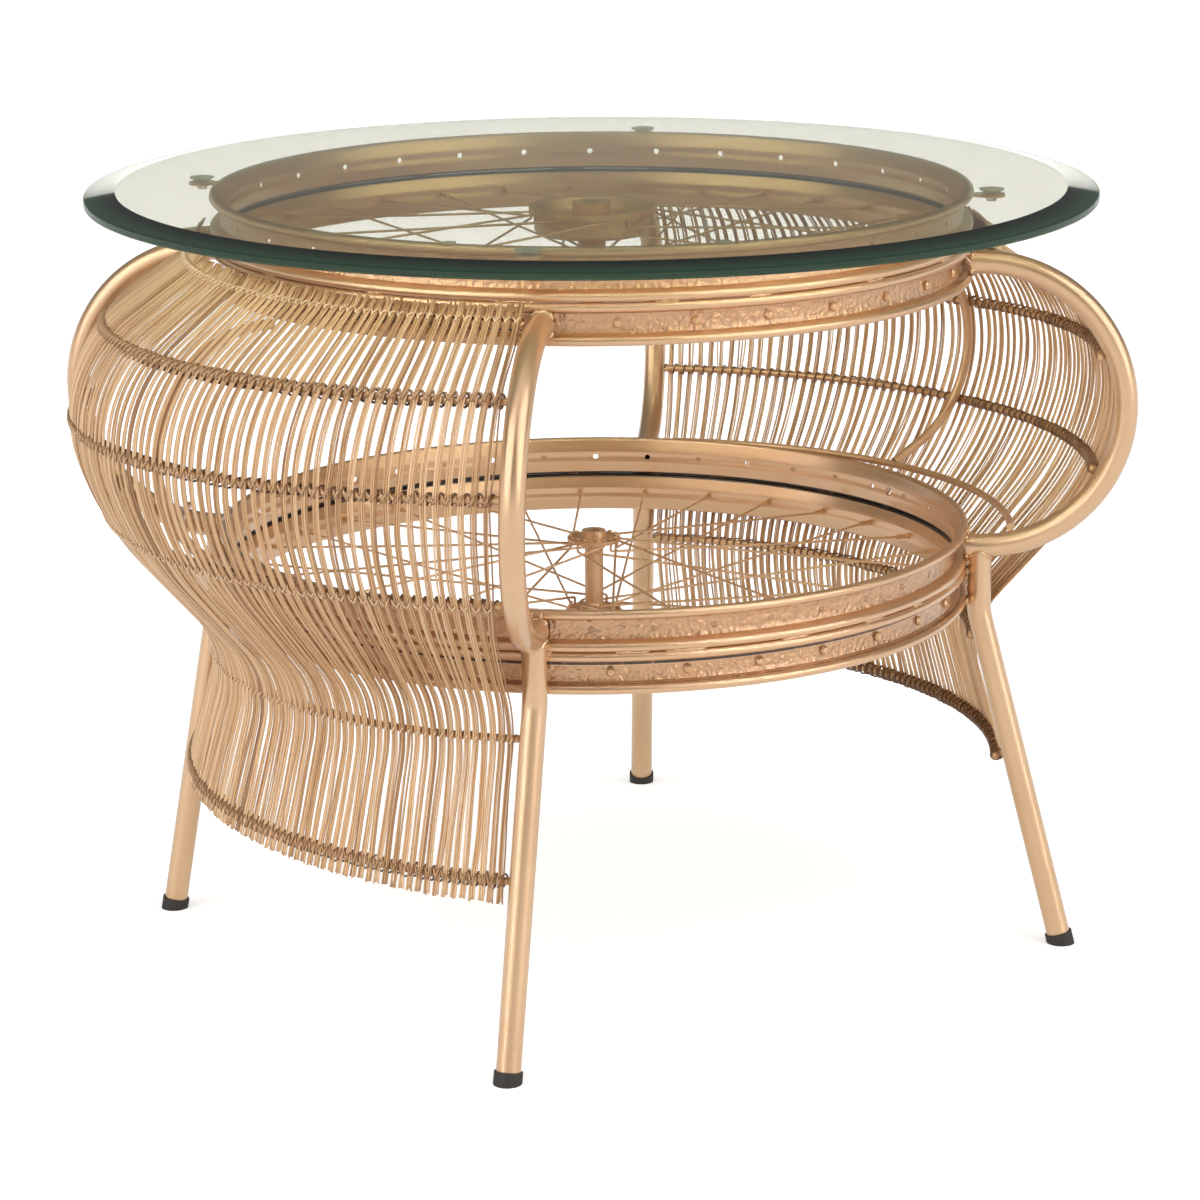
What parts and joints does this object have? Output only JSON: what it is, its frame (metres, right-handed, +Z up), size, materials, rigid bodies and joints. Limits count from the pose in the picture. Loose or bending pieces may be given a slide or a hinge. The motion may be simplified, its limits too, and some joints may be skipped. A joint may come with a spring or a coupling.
{
  "type": "coffee table",
  "caption": "Round glass-topped coffee table on stacked spoked wheel rims, with bent tube legs and two bulging reed side panels.",
  "frame": {"origin": "centre of the table at floor level", "axes": "+Z up; +X and -X through the middles of the two reed panels; +Y and -Y through the two open sides"},
  "size_m": [0.8376, 0.8, 0.6185],
  "materials": {
    "glass": "clear polished glass, green at the edge",
    "clear_rubber": "clear soft plastic",
    "black_rubber": "matte moulded rubber",
    "frame_tube": "satin rose-copper paint",
    "frame_rod": "satin copper paint",
    "rim": "hammered rose-copper paint",
    "hub": "rough copper paint",
    "spoke": "satin copper paint",
    "reed": "matte tan-gold reed",
    "tie_wire": "thin satin brown wire"
  },
  "bodies": {
    "frame": {"suction_cups": "clear_rubber", "cup_tabs": "frame_rod", "clear_bumpers": "clear_rubber", "upper_bare_rim": "rim", "upper_spoked_rim": "rim", "upper_drum_hub": "hub", "upper_spokes": "spoke", "upper_nipples": "spoke", "lower_bare_rim": "rim", "lower_spoked_rim": "rim", "lower_hub": "hub", "lower_spokes": "spoke", "lower_nipples": "spoke", "front_leg": "frame_tube", "right_leg": "frame_tube", "back_leg": "frame_tube", "left_leg": "frame_tube", "front_foot_cap": "black_rubber", "right_foot_cap": "black_rubber", "back_foot_cap": "black_rubber", "left_foot_cap": "black_rubber", "front_bow": "frame_tube", "right_bow": "frame_tube", "back_bow": "frame_tube", "left_bow": "frame_tube", "left_reeds": "reed", "right_reeds": "reed", "left_rods": "frame_rod", "right_rods": "frame_rod", "left_tie_wires": "tie_wire", "right_tie_wires": "tie_wire", "left_middle_rod": "frame_rod", "right_middle_rod": "frame_rod", "left_hoop_rod": "frame_rod", "right_hoop_rod": "frame_rod"},
    "glass_top": {"glass_top": "glass"}
  },
  "joints": [
    {"name": "glass_lift", "type": "slide", "parent": "frame", "child": "glass_top", "axis": [0, 0, 1], "range_m": [0, 0.15]}
  ]
}
